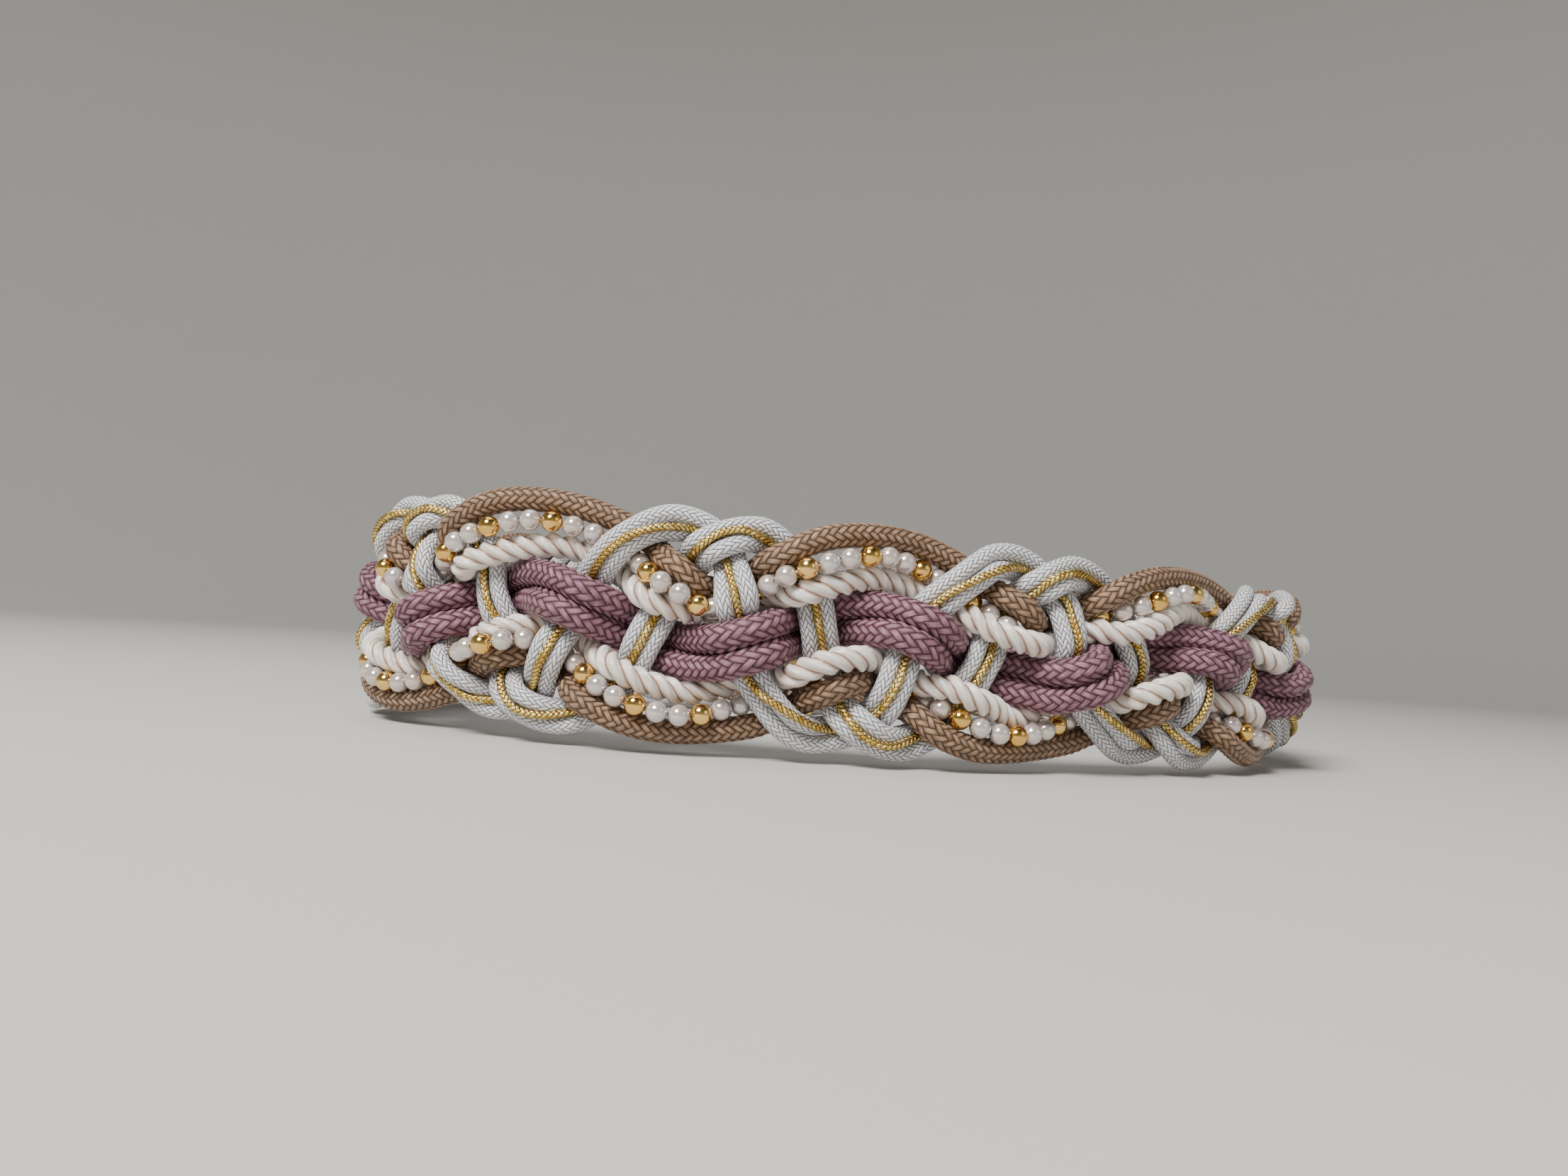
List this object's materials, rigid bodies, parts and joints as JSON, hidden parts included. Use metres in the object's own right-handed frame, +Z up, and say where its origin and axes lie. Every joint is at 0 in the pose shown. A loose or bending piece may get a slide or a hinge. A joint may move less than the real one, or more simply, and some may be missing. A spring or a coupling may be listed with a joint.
{
  "type": "rope belt",
  "caption": "Oval waist belt: a thick flat braid of satin cords, twisted ropes and bead strings, closed at the back by one plain clasp.",
  "frame": {"origin": "on the floor under the middle of the loop that the waist goes through", "axes": "+X to the right seen from the front, +Y to the back, where the clasp is, +Z up along the wearer"},
  "size_m": [0.3361, 0.2209, 0.0713],
  "materials": {
    "mauve_cord": "satin braided cord",
    "tan_cord": "satin braided cord",
    "cream_rope": "glossy three-ply twisted rope",
    "white_cord": "matt fine braided cord",
    "gold_cord": "metallic braided cord",
    "pearl_bead": "pearl lustre",
    "gold_metal": "polished"
  },
  "bodies": {
    "root": {"mauve_cord_upper": "mauve_cord", "mauve_cord_lower": "mauve_cord", "tan_cord_upper": "tan_cord", "tan_cord_lower": "tan_cord", "cream_rope_upper": "cream_rope", "cream_rope_lower": "cream_rope", "bead_string_upper": "pearl_bead", "bead_string_lower": "pearl_bead", "white_cord_upper_a": "white_cord", "white_cord_lower_a": "white_cord", "white_cord_upper_b": "white_cord", "white_cord_lower_b": "white_cord", "gold_cord_a": "gold_cord", "gold_cord_b": "gold_cord", "back_clasp": "gold_metal"}
  },
  "joints": []
}
